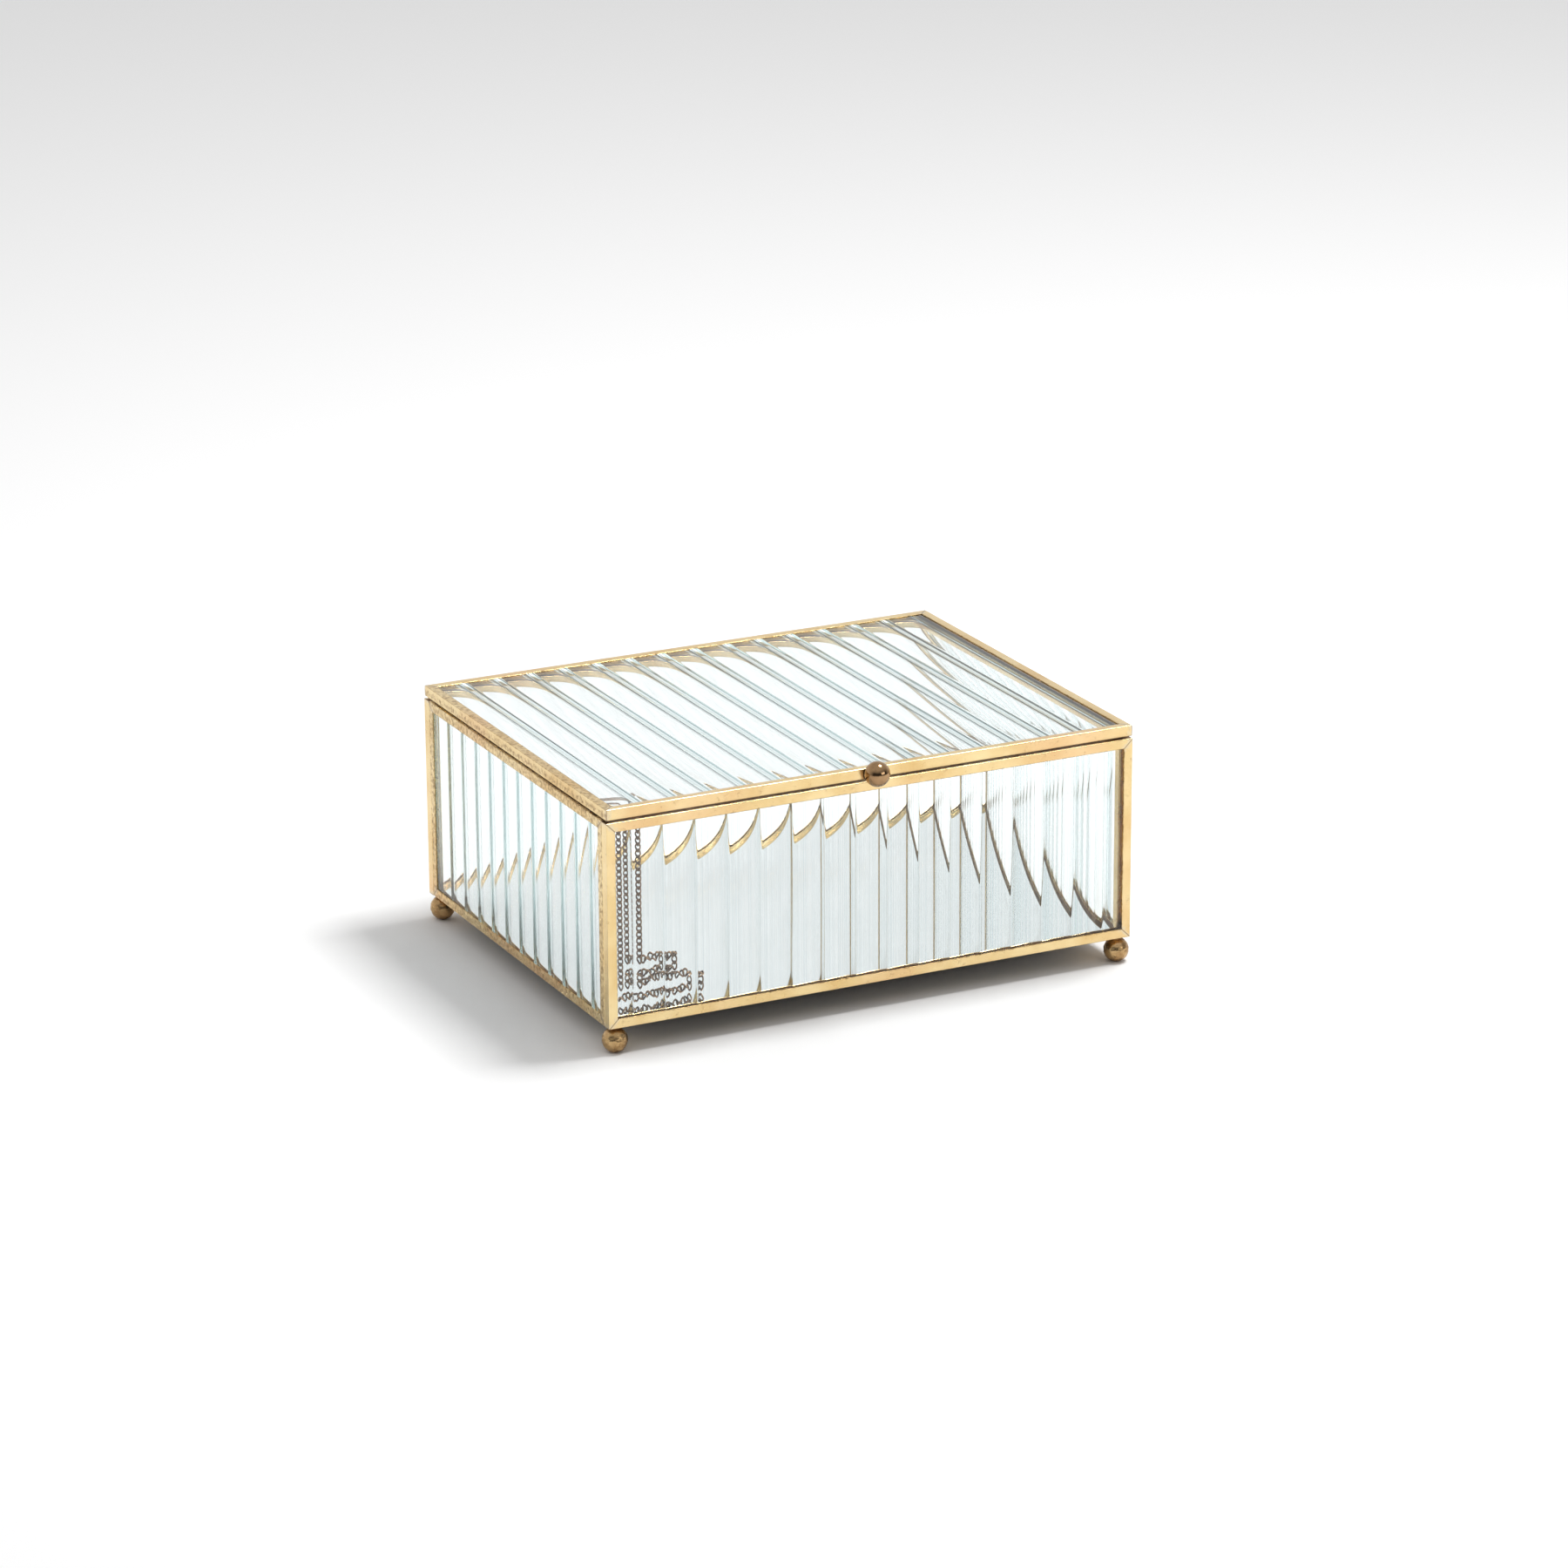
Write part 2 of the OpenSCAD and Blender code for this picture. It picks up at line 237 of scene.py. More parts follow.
def metalAgeing():
    # cloudy tone, warm patches, specks of tarnish and a worked surface, from object coordinates
    group, given, out = newGroup(
        "metalAgeing",
        [("Cloud size", "NodeSocketFloat", 60.0), ("Spot size", "NodeSocketFloat", 420.0),
         ("Spots", "NodeSocketFloat", 0.3), ("Patina and shade", "NodeSocketFloat", 0.0)],
        [("Cloud", "NodeSocketFloat"), ("Warm", "NodeSocketFloat"), ("Spot", "NodeSocketFloat"),
         ("Height", "NodeSocketFloat"), ("Roughness", "NodeSocketFloat"),
         ("Patina and shade", "NodeSocketFloat")])
    coords = group.nodes.new("ShaderNodeTexCoord").outputs["Object"]
    cloudSize = given.outputs["Cloud size"]
    cloud = noiseNode(group, coords, cloudSize)
    warm = noiseNode(group, coords, mathNode(group, "MULTIPLY", cloudSize, 0.43), 2.0, 0.5)
    spot = noiseNode(group, coords, given.outputs["Spot size"], 6.0, 0.65)
    worked = noiseNode(group, coords, 900.0, 5.0, 0.6)
    ragged = noiseNode(group, coords, 700.0, 5.0, 0.65)
    spotMask = rampNode(group, spot, 0.60, 0.72)
    # patina and painted shade spread unevenly: the value given is pushed up and down by a ragged noise
    uneven = mathNode(group, "ADD", given.outputs["Patina and shade"],
                      rampNode(group, ragged, 0.3, 0.7, -0.28, 0.28))
    group.links.new(rampNode(group, cloud, 0.32, 0.68), out.inputs["Cloud"])
    group.links.new(rampNode(group, warm, 0.50, 0.68), out.inputs["Warm"])
    group.links.new(mathNode(group, "MULTIPLY", spotMask, given.outputs["Spots"]), out.inputs["Spot"])
    group.links.new(worked, out.inputs["Height"])
    group.links.new(rampNode(group, cloud, 0.2, 0.8, -0.06, 0.10), out.inputs["Roughness"])
    group.links.new(rampNode(group, uneven, 0.3, 0.8), out.inputs["Patina and shade"])
    return group


ageing = metalAgeing()

brassLook = {
    "pale": (0.88, 0.70, 0.38),
    "deep": (0.74, 0.51, 0.22),
    "warm": (0.80, 0.50, 0.27),
    # tarnish colour, also the colour of painted shade on hidden faces
    "tarnishAndShade": (0.20, 0.105, 0.045),
    "solder": (0.74, 0.62, 0.42),
    "roughness": 0.22,
}
knobLook = {
    "pale": (0.46, 0.29, 0.15),
    "deep": (0.27, 0.16, 0.08),
    "warm": (0.38, 0.21, 0.11),
    "tarnishAndShade": (0.05, 0.03, 0.02),
    "solder": (0.42, 0.30, 0.18),
    "roughness": 0.10,
}
chainLook = {
    "pale": (0.52, 0.34, 0.20),
    "deep": (0.30, 0.18, 0.10),
    "warm": (0.46, 0.27, 0.19),
    "tarnishAndShade": (0.07, 0.04, 0.025),
    "solder": (0.6, 0.5, 0.3),
    "roughness": 0.20,
}
footLook = dict(brassLook, pale=(0.62, 0.42, 0.20), deep=(0.33, 0.19, 0.08), roughness=0.24)


def brassMaterial(name, look, spots=0.3, cloudSize=60.0, bump=0.12, seams=False):
    # patina darkens hollows and painted shade darkens hidden faces; seam is the distance to a mitre in
    # mm: solder spreads a millimetre or two from it in blots, and the joint itself is a dark line
    material, tree, shader = newMaterial(name, metallic=1.0)
    age = addNode(tree, "ShaderNodeGroup", node_tree=ageing)
    age.inputs["Cloud size"].default_value = cloudSize
    age.inputs["Spots"].default_value = spots
    patinaAndShade = addNode(tree, "ShaderNodeAttribute", attribute_name="patinaAndShade").outputs["Fac"]
    tree.links.new(patinaAndShade, age.inputs["Patina and shade"])
    colour = mixColour(tree, age.outputs["Cloud"], look["pale"], look["deep"])
    warm = mathNode(tree, "MULTIPLY", age.outputs["Warm"], 0.5)
    colour = mixColour(tree, warm, colour, look["warm"])
    if seams:
        seam = addNode(tree, "ShaderNodeAttribute", attribute_name="seam").outputs["Fac"]
        blot = mathNode(tree, "ADD", seam, rampNode(tree, age.outputs["Height"], 0.3, 0.7, -1.2, 1.2))
        colour = mixColour(tree, rampNode(tree, blot, 1.6, 0.4, 0.0, 0.8), colour, look["solder"])
        colour = mixColour(tree, rampNode(tree, seam, 0.28, 0.05, 0.0, 0.85), colour, look["tarnishAndShade"])
    # tarnish spots, patina and painted shade darken the colour towards the tarnish colour
    dark = mathNode(tree, "MAXIMUM", age.outputs["Spot"], age.outputs["Patina and shade"])
    colour = mixColour(tree, dark, colour, look["tarnishAndShade"])
    tree.links.new(colour, shader.inputs["Base Color"])
    rough = mathNode(tree, "ADD", age.outputs["Roughness"], look["roughness"])
    rough = mathNode(tree, "ADD", rough, mathNode(tree, "MULTIPLY", dark, 0.3))
    tree.links.new(rough, shader.inputs["Roughness"])
    addBump(tree, shader, age.outputs["Height"], bump)
    return material


glassLook = {
    "ior": 1.52,
    "tint": (0.37, 0.87, 0.88),
    "density": 18.0,        # per metre, of the tint
    "haze": 0.004,
    "striae": (0.80, 0.85, 0.87),
    "striaeScale": 2.4,     # per mm across the pane, of the fine lines along its flutes
}


def glassMaterial():
    # clear, with fine drawn lines across the pane, a faint haze and a tint through its thickness
    material, tree, shader = newMaterial("flutedGlass")
    across = addNode(tree, "ShaderNodeAttribute", attribute_name="across").outputs["Fac"]
    drawn = addNode(tree, "ShaderNodeTexNoise", {"Scale": glassLook["striaeScale"], "Detail": 3.0},
                    noise_dimensions="1D")
    tree.links.new(across, drawn.inputs["W"])
    striae = rampNode(tree, drawn.outputs["Fac"], 0.60, 0.70)
    tree.links.new(mixColour(tree, striae, (1.0, 1.0, 1.0), glassLook["striae"]),
                   shader.inputs["Base Color"])
    shader.inputs["Transmission Weight"].default_value = 1.0
    shader.inputs["IOR"].default_value = glassLook["ior"]
    coords = tree.nodes.new("ShaderNodeTexCoord").outputs["Object"]
    smear = noiseNode(tree, coords, 55.0, 5.0, 0.6)
    haze = glassLook["haze"]
    tree.links.new(rampNode(tree, smear, 0.4, 0.8, haze, 3 * haze), shader.inputs["Roughness"])
    absorb = tree.nodes.new("ShaderNodeVolumeAbsorption")
    absorb.inputs["Color"].default_value = (*glassLook["tint"], 1)
    absorb.inputs["Density"].default_value = glassLook["density"]
    tree.links.new(absorb.outputs["Volume"], tree.nodes["Material Output"].inputs["Volume"])
    return material


mirrorLook = {
    "clear": (0.93, 0.95, 0.95),
    "dusty": (0.88, 0.91, 0.91),
    "frayed": (0.40, 0.36, 0.30),
}


def mirrorMaterial():
    # silvering that dulls towards its edges, with a little dust
    material, tree, shader = newMaterial("mirrorGlass", metallic=1.0)
    coords = tree.nodes.new("ShaderNodeTexCoord").outputs["Object"]
    dust = noiseNode(tree, coords, 35.0, 5.0, 0.6)
    veil = rampNode(tree, dust, 0.4, 0.75)
    colour = mixColour(tree, veil, mirrorLook["clear"], mirrorLook["dusty"])
    patinaAndShade = addNode(tree, "ShaderNodeAttribute", attribute_name="patinaAndShade").outputs["Fac"]
    fray = mathNode(tree, "MULTIPLY", patinaAndShade, rampNode(tree, noiseNode(tree, coords, 260.0), 0.4, 0.6))
    colour = mixColour(tree, fray, colour, mirrorLook["frayed"])
    tree.links.new(colour, shader.inputs["Base Color"])
    tree.links.new(rampNode(tree, dust, 0.3, 0.8, 0.01, 0.06), shader.inputs["Roughness"])
    return material


boardLook = {
    "card": (0.020, 0.018, 0.016),
    "fibre": (0.055, 0.050, 0.045),
    "roughness": 0.85,
}


def boardMaterial():
    # matt card with a fine fibre
    material, tree, shader = newMaterial("backingBoard")
    shader.inputs["Roughness"].default_value = boardLook["roughness"]
    coords = tree.nodes.new("ShaderNodeTexCoord").outputs["Object"]
    fibre = noiseNode(tree, coords, 900.0, 6.0, 0.7)
    mask = rampNode(tree, fibre, 0.35, 0.65)
    tree.links.new(mixColour(tree, mask, boardLook["card"], boardLook["fibre"]),
                   shader.inputs["Base Color"])
    addBump(tree, shader, fibre, 0.4)
    return material


channelBrass = brassMaterial("channelBrass", brassLook, seams=True)
footBrass = brassMaterial("footBrass", footLook, spots=0.7, cloudSize=260.0, bump=0.5)
knobBronze = brassMaterial("knobBronze", knobLook, cloudSize=200.0, bump=0.03)
hingeBrass = brassMaterial("hingeBrass", brassLook, spots=0.5, cloudSize=150.0)
wireBrass = brassMaterial("hingeWire", knobLook, spots=0.4, cloudSize=150.0)
chainBrass = brassMaterial("chainBrass", chainLook, spots=0.5, cloudSize=300.0, bump=0.05)
glass = glassMaterial()
mirrorGlass = mirrorMaterial()
board = boardMaterial()
print("materials made")

slotMaterial = {"brass": hingeBrass, "bronzed_brass": knobBronze, "hinge_wire": wireBrass,
                "chain_brass": chainBrass, "fluted_glass": glass, "mirror": mirrorGlass,
                "backing_board": board}
# the frame's own nodes wear the same materials as the pieces that stand for them
for entry in frame["record"]["subparts"]:
    nodes[entry["node"]].data.materials.clear()
    nodes[entry["node"]].data.materials.append(slotMaterial[entry["material_slot"]])

channelForm = {
    "flange": 3.0,          # mm, width of the channel's flanges
    "thick": 3.5,           # mm across the glass
    "sheet": 0.3,           # mm, sheet of the channel
    "corner": 0.28,         # mm, radius of the folded corners
    "crown": 0.05,          # mm that the middle of a flange stands proud of its edges
    "seamGap": 0.004,       # mm left at each end of a rail
    "ripple": 0.012,        # mm, unevenness of the folded sheet
    "rippleRun": 9,         # mm along the rail for each radian of it
    "calm": 12,             # mm from a mitre over which it dies away
    "spacing": 5,           # mm between the outlines along a rail
    "clear": 8,             # mm from a mitre where the even spacing begins
    "tip": 0.1,             # mm over which the flanges' edges are rounded
    "lip": 0.3,             # mm of tarnish along the edge that meets the glass
    "lipPatina": 0.6,
}


def channelProfile(outerPatinaAndShade, webPatinaAndShade, innerPatinaAndShade):
    # Outline of the folded sheet, (across thickness, across flange), with the patina and painted
    # shade at each point: down one flange, along the web, up the other flange and back round the
    # groove.
    # Corners are quarter circles; flanges and web are crowned as parabolas.
    form = channelForm
    flange, thick, sheet, r = (form[k] for k in ("flange", "thick", "sheet", "corner"))
    tip = form["tip"]
    w = np.array([flange - tip, flange - form["lip"], flange * 0.72, flange * 0.5, flange * 0.3, r])
    lip = np.array([form["lipPatina"], 0.0, 0.0, 0.0, 0.0, 0.0])
    bow = form["crown"] * ((w - flange / 2) / (flange / 2)) ** 2
    turn = np.linspace(0, math.pi / 2, 6)[1:-1]
    corner = np.stack([r - r * np.cos(turn), r - r * np.sin(turn)], -1)
    web = np.linspace(r, thick - r, 5)
    outerFlange = np.stack([bow, w], -1)
    innerFlange = np.stack([thick - bow, w], -1)[::-1]
    mirrored = np.stack([thick - corner[:, 0], corner[:, 1]], -1)[::-1]
    webLine = np.stack([web, form["crown"] * ((web - thick / 2) / (thick / 2)) ** 2], -1)
    groove = np.array([[thick - sheet / 2, flange], [thick - sheet, flange - tip],
                       [thick - sheet, flange / 2], [thick - sheet, sheet], [thick / 2, sheet],
                       [sheet, sheet], [sheet, flange / 2], [sheet, flange - tip],
                       [sheet / 2, flange]])
    # painted shade on the web, deepest towards its back, away from the light; the groove is darker too
    webShading = np.array([0.1, 0.65, 1.0, 1.0, 0.6])
    inGroove = np.array([0.2, 0.2, 0.2, 0.3, 0.4, 0.3, 0.2, 0.2, 0.4])
    outline = np.concatenate([outerFlange, corner, webLine, mirrored, innerFlange, groove])
    patinaAndShade = np.concatenate([
        np.maximum(lip, outerPatinaAndShade), np.full(len(corner), outerPatinaAndShade),
        webPatinaAndShade * webShading, np.full(len(corner), innerPatinaAndShade),
        np.maximum(lip[::-1], innerPatinaAndShade), inGroove])
    return outline, patinaAndShade


def channelPiece(name, start, along, inward, across, length, patinasAndShade, phase):
    # The outline carried along the rail; a point w in from the outer edge runs from w to
    # length - w, which cuts both ends at 45 degrees.
    outline, patinaAndShade = channelProfile(*patinasAndShade)
    gap, clear = channelForm["seamGap"], channelForm["clear"]
    inside = length - 2 * channelForm["flange"]
    # outlines crowd towards the mitres, where the solder's tone changes
    near = np.array([0, 0.06, 0.15, 0.3, 0.6, 1.1, 1.8, 3.0, 5.0])
    inner = np.linspace(clear, inside - clear, int(length / channelForm["spacing"]))
    share = np.concatenate([near, inner, inside - near[::-1]]) / inside
    w = outline[None, :, 1]
    run = length - 2 * w - 2 * gap
    x = w + gap + share[:, None] * run
    seam = np.minimum(share[:, None], 1 - share[:, None]) * run
    calm = np.clip(seam / channelForm["calm"], 0, 1)
    uneven = np.abs(ripple(x / channelForm["rippleRun"], phase, channelForm["ripple"]))
    towardsMiddle = np.sign(channelForm["thick"] / 2 - outline[None, :, 0])
    t = outline[None, :, 0] + calm * uneven * towardsMiddle
    points = np.stack([x, t, np.broadcast_to(w, x.shape)], -1).reshape(-1, 3)
    points = placed(points, start, along, across, inward)
    faces = loftFaces(*x.shape, clockwise=np.dot(np.cross(along, across), inward) < 0)
    values = {"patinaAndShade": np.broadcast_to(patinaAndShade, x.shape).ravel(), "seam": seam.ravel()}
    return meshPiece(name, points, faces, smoothAngle=35, attributes=values)


def framePieces(prefix, body, names, sideNames, across, up, into, patinasAndShade):
    # the four mitred channels of one frame, walked round from its lowest corner
    low, high = nodeBox(*names)
    corner = np.where(across + up + into > 0, low, high)
    size = high - low
    width, height = abs(size @ across), abs(size @ up)
    far = corner + width * across
    runs = [(corner, across, up, width), (far, up, -across, height),
            (far + height * up, -across, -up, width), (corner + height * up, -up, across, height)]
    for node, side, (start, along, inward, length), patinaAndShade in zip(names, sideNames, runs, patinasAndShade):
        piece = channelPiece(prefix + side, start, along, inward, into, length, patinaAndShade,
                             rng.uniform(0, 6))
        finishPiece(piece, body, [node], channelBrass)


sides = ["BottomRail", "EndPost", "TopRail", "StartPost"]
# patina and painted shade of the outer flange, the web and the inner flange, for the four sides in
# turn: painted shade on the webs, darkest on the top rail's, which faces the gap under the lid
wallPatinaAndShade = [(0.12, 0.5, 0.12), (0.1, 0.15, 0.2), (0.12, 0.95, 0.15), (0.1, 0.15, 0.2)]
# the right frame's bottom rail has painted shade on its inner flange, darkening it where it shows
# through the glass
rightPatinaAndShade = [(0.12, 0.5, 0.8)] + wallPatinaAndShade[1:]
# the left frame's outer flanges are darkened: painted shade on the side away from the key light
leftPatinaAndShade = [(0.44, *patinaAndShade[1:]) for patinaAndShade in wallPatinaAndShade]
# the lid's inner flanges carry painted shade where they face the gap, and its left rail painted shade
# on the side away from the key light
lidPatinaAndShade = [(0.1, 0.1, 0.3)] * 3 + [(0.40, 0.46, 0.3)]
# body, nodes, the directions across, up and into the frame, and the four sides' patina and painted
# shade
frames = {
    "front": ("box", ["front_bottom_rail", "front_right_post", "front_top_rail", "front_left_post"],
              xDir, zDir, yDir, wallPatinaAndShade),
    "back": ("box", ["back_bottom_rail", "back_left_post", "back_top_rail", "back_right_post"],
             -xDir, zDir, -yDir, wallPatinaAndShade),
    "left": ("box", ["left_bottom_rail", "left_front_post", "left_top_rail", "left_back_post"],
             -yDir, zDir, xDir, leftPatinaAndShade),
    "right": ("box", ["right_bottom_rail", "right_back_post", "right_top_rail", "right_front_post"],
              yDir, zDir, -xDir, rightPatinaAndShade),
    "lid": ("lid", ["lid_front_rail", "lid_right_rail", "lid_back_rail", "lid_left_rail"],
            xDir, yDir, -zDir, lidPatinaAndShade),
}
for prefix, (body, names, across, up, into, patinasAndShade) in frames.items():
    framePieces(prefix, body, names, sides, across, up, into, patinasAndShade)
print("brass channel made")

fluteForm = {
    "wallPitch": 10.8,      # mm from flute to flute in the walls
    "lidPitch": 11.6,
    "wallDepth": 0.9,
    "lidDepth": 0.6,
    "crest": 0.05,          # mm, how round the ridges are
    "wander": 0.05,         # mm, how far flutes stray from their places
    "stepsPerFlute": 36,
    "rows": 14,
}


def flutedPane(name, node, body, across, along, outward, pitch, depth, centred):
    # The outer face is flat. The inner face's height is the soft minimum of circular hollows,
    # one for each flute: centre c, h = R - sqrt(R^2 - (u - c)^2), so ridges come out rounded.
    low, high = nodeBox(node)
    size = high - low
    width, length, thick = (abs(size @ d) for d in (across, along, outward))
    half = pitch / 2
    radius = (half * half + depth * depth) / (2 * depth)
    cols = int(width / pitch * fluteForm["stepsPerFlute"])
    u = np.linspace(-width / 2, width / 2, cols)
    v = np.linspace(-length / 2, length / 2, fluteForm["rows"])
    count = int(width / pitch / 2) + 2
    centres = (np.arange(-count, count + 1) + (0 if centred else 0.5)) * pitch
    wander = rng.normal(0, fluteForm["wander"], len(centres))
    uu, vv = np.meshgrid(u, v)
    sway = wander[None, None] * np.sin(vv[..., None] / length * 4 + np.arange(len(centres)))
    off = np.clip(np.abs(uu[..., None] - centres - sway), 0, radius * 0.98)
    hollow = radius - np.sqrt(radius ** 2 - off ** 2)
    crest = fluteForm["crest"]
    height = -crest * np.log(np.exp(-hollow / crest).sum(-1))
    inner = -thick / 2 + np.clip(depth - height, 0, None)
    outer = np.full_like(inner, thick / 2)
    flat = np.stack([uu, vv, outer], -1).reshape(-1, 3)
    wavy = np.stack([uu, vv, inner], -1).reshape(-1, 3)
    points = placed(np.concatenate([flat, wavy]), (low + high) / 2, across, along, outward)
    rows = len(v)
    n = rows * cols
    left = np.arange(rows) * cols
    bottom = np.arange(cols)
    rims = []
    for edge, flip in ((left, False), (left + cols - 1, True), (bottom, True),
                       (bottom + (rows - 1) * cols, False)):
        a, b = edge[:-1], edge[1:]
        quads = np.stack([a, b, b + n, a + n], -1)
        rims.append(quads[:, ::-1] if flip else quads)
    faces = np.concatenate([gridFaces(rows, cols), gridFaces(rows, cols)[:, ::-1] + n] + rims)
    if np.dot(np.cross(across, along), outward) < 0:
        faces = faces[:, ::-1]
    piece = meshPiece(name, points, faces, 60, {"across": np.tile(uu.ravel(), 2)})
    return finishPiece(piece, body, [node], glass)


# node, body, the directions across, along and outward, and whether a flute is in the middle
panes = {
    "frontPane": ("front_glass", "box", xDir, zDir, -yDir, True),
    "backPane": ("back_glass", "box", xDir, zDir, yDir, True),
    "leftPane": ("left_glass", "box", yDir, zDir, -xDir, False),
    "rightPane": ("right_glass", "box", yDir, zDir, xDir, False),
    "lidPane": ("lid_glass", "lid", xDir, yDir, zDir, True),
}
for name, (node, body, across, along, outward, centred) in panes.items():
    kind = "lid" if body == "lid" else "wall"
    flutedPane(name, node, body, across, along, outward, fluteForm[kind + "Pitch"],
               fluteForm[kind + "Depth"], centred)
print("glass made")


def slab(outline, low, high, bevel):
    # A plate with softened edges: the outline, shrunk by the bevel at its two faces, lofted
    # through four loops. outline is (n, 2), anticlockwise.
    ahead = unit(np.roll(outline, -1, 0) - outline)
    behind = np.roll(ahead, 1, 0)
    inwardNormal = unit(np.stack([-(ahead + behind)[:, 1], (ahead + behind)[:, 0]], -1))
    sideNormal = np.stack([-ahead[:, 1], ahead[:, 0]], -1)
    pull = bevel / np.clip((inwardNormal * sideNormal).sum(-1), 0.4, 1)
    shrunk = outline + inwardNormal * pull[:, None]
    loops = [(shrunk, low), (outline, low + bevel), (outline, high - bevel), (shrunk, high)]
    points = np.concatenate([np.column_stack([o, np.full(len(o), z)]) for o, z in loops])
    return points, loftFaces(len(loops), len(outline))


def rectangle(low, high):
    return np.array([[low[0], low[1]], [high[0], low[1]], [high[0], high[1]], [low[0], high[1]]])


baseForm = {
    "bevel": 0.15,          # mm, at the mirror's edges
    "frayed": 0.8,          # mm of spoilt silvering round the mirror
    "evenFrom": 8,          # mm from the mirror's edges where its even grid begins
    "evenSteps": 12,
    "boardBevel": 0.08,
    "plateBevel": 0.06,
}


def mirrorPiece():
    # a flat sheet gridded closely at its edges, where the silvering is frayed and the upper face
    # falls away by the bevel
    low, high = nodeBox("mirror")
    fray, bevel, even = (baseForm[k] for k in ("frayed", "bevel", "evenFrom"))

    def stations(a, b):
        middle = np.linspace(a + even, b - even, baseForm["evenSteps"])
        return np.concatenate([[a, a + bevel, a + fray], middle, [b - fray, b - bevel, b]])

    x, y = np.meshgrid(stations(low[0], high[0]), stations(low[1], high[1]))
    edge = np.minimum.reduce([x - low[0], high[0] - x, y - low[1], high[1] - y])
    top = high[2] - np.clip(bevel - edge, 0, None)
    rows, cols = x.shape
    upper = np.stack([x, y, top], -1).reshape(-1, 3)
    lower = np.stack([x, y, np.full_like(x, low[2])], -1).reshape(-1, 3)
    n = rows * cols
    ring = np.concatenate([np.arange(cols), np.arange(1, rows) * cols + cols - 1,
                           (rows - 1) * cols + np.arange(cols - 1)[::-1],
                           np.arange(1, rows - 1)[::-1] * cols])
    skirt = np.stack([ring + n, np.roll(ring, -1) + n, np.roll(ring, -1), ring], -1)
    faces = np.concatenate([gridFaces(rows, cols), gridFaces(rows, cols)[:, ::-1] + n, skirt])
    patinaAndShade = np.concatenate([np.clip(1 - edge / fray, 0, 1).ravel()] * 2)
    piece = meshPiece("mirrorSheet", np.concatenate([upper, lower]), faces, 40, {"patinaAndShade": patinaAndShade})
    finishPiece(piece, "box", ["mirror"], mirrorGlass)


def basePieces():
    # the board behind the mirror and the four triangular plates that carry it
    low, high = nodeBox("backing_board")
    points, faces = slab(rectangle(low, high), low[2], high[2], baseForm["boardBevel"])
    piece = meshPiece("backingSheet", points, faces, 30)
    finishPiece(piece, "box", ["backing_board"], board)
    middle = (low + high) / 2
    for i in range(1, 5):
        low, high = nodeBox(f"corner_plate_{i}")
        # the right angle is the box corner farthest from the middle
        square = np.where(np.abs(low - middle) > np.abs(high - middle), low, high)
        other = low + high - square
        corners = np.array([square[:2], [other[0], square[1]], [square[0], other[1]]])
        edgeA, edgeB = corners[1] - corners[0], corners[2] - corners[0]
        if edgeA[0] * edgeB[1] - edgeA[1] * edgeB[0] < 0:
            corners = corners[::-1]
        points, faces = slab(corners, low[2], high[2], baseForm["plateBevel"])
        piece = meshPiece(f"cornerPlate{i}", points, faces, 30, {"patinaAndShade": np.full(len(points), 0.45)})
        finishPiece(piece, "box", [f"corner_plate_{i}"], hingeBrass)


mirrorPiece()
basePieces()
print("base made")


def turned(profile, patinaAndShade, base, axis, side, segments=48, lumps=0.0, phase=0.0):
    # A turned shape: radius r at height h swept round the axis; the first and last points lie
    # on it. lumps is the size in mm of a hand-worked unevenness, made of sines.
    r, h = profile[:, 0], profile[:, 1]
    angle = np.linspace(0, 2 * math.pi, segments, endpoint=False)
    hh, aa = np.meshgrid(h[1:-1], angle, indexing="ij")
    rr = np.broadcast_to(r[1:-1, None], hh.shape)
    uneven = lumps * np.sin(3 * aa + 1.7 * hh + phase) * np.sin(2.1 * hh + 2 * aa + 2 * phase)
    uneven = uneven + 0.6 * lumps * np.sin(7 * aa - 2.9 * hh + phase)
    rr = rr - np.abs(uneven) * np.clip(rr, 0, 1)
    ring = np.stack([rr * np.cos(aa), rr * np.sin(aa), hh], -1).reshape(-1, 3)
    points = np.concatenate([ring, [[0, 0, h[0]], [0, 0, h[-1]]]])
    rows = len(r) - 2
    faces = [tuple(f) for f in gridFaces(rows, segments, closeCols=True)]
    k = np.arange(segments)
    first, last = rows * segments, rows * segments + 1
    faces += list(zip(np.full(segments, first), (k + 1) % segments, k))
    top = (rows - 1) * segments
    faces += list(zip(np.full(segments, last), top + k, top + (k + 1) % segments))
    other = np.cross(axis, side)
    points = placed(points, base, side, other, axis)
    values = np.concatenate([np.repeat(patinaAndShade[1:-1], segments), [patinaAndShade[0], patinaAndShade[-1]]])
    return points, faces, values


footForm = {
    "flat": 1.2,            # mm, radius of the worn flat it stands on
    "neck": 1.7,            # mm, radius of the solder neck
    "spread": 2.5,          # mm, radius of the neck where it meets the frame
    "lumps": 0.14,          # mm, unevenness of the ball
}


